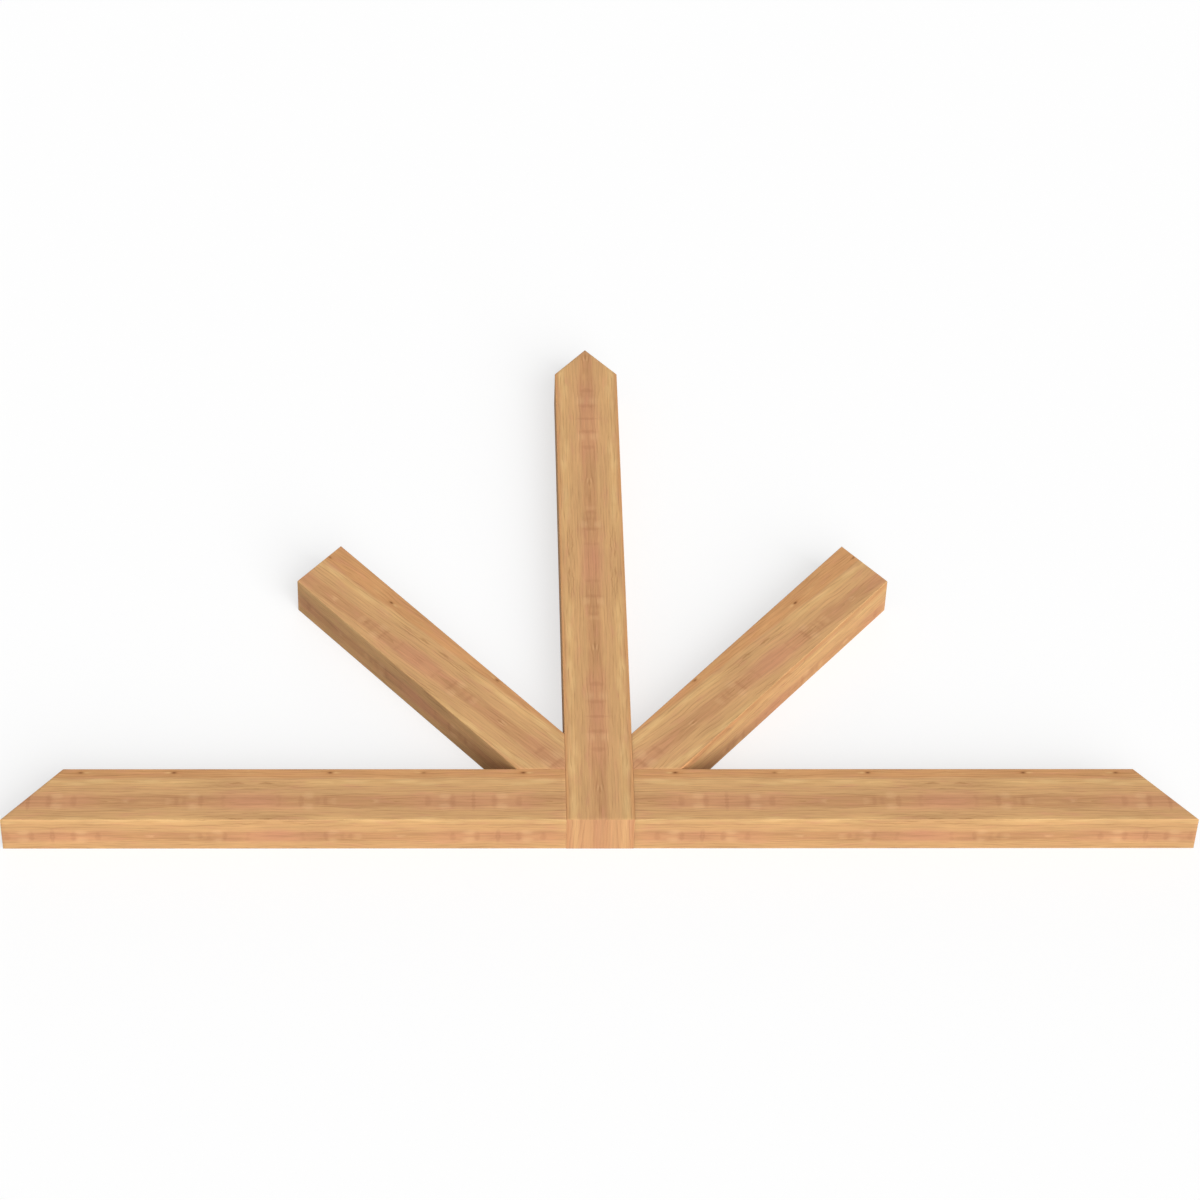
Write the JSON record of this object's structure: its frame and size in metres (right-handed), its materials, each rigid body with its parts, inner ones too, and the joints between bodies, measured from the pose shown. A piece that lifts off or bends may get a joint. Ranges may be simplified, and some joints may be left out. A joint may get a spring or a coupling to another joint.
{
  "type": "timber gable bracket",
  "caption": "Flat triangular gable bracket of planed timber: an upright post with a pointed top, a bottom chord and slanting braces between them, all cut to the roof slope.",
  "frame": {"origin": "on the floor, under the middle of the bracket's outline as it lies on its back", "axes": "+X along the bottom chord, +Y up the post to the ridge, +Z out of the front face; turned a quarter turn about X it stands as on a gable"},
  "size_m": [2.4384, 1.4224, 0.0889],
  "materials": {
    "planed_softwood": "planed smooth, unfinished"
  },
  "bodies": {
    "root": {"king_post": "planed_softwood", "bottom_chord_left": "planed_softwood", "bottom_chord_right": "planed_softwood", "brace_left": "planed_softwood", "brace_right": "planed_softwood"}
  },
  "joints": []
}
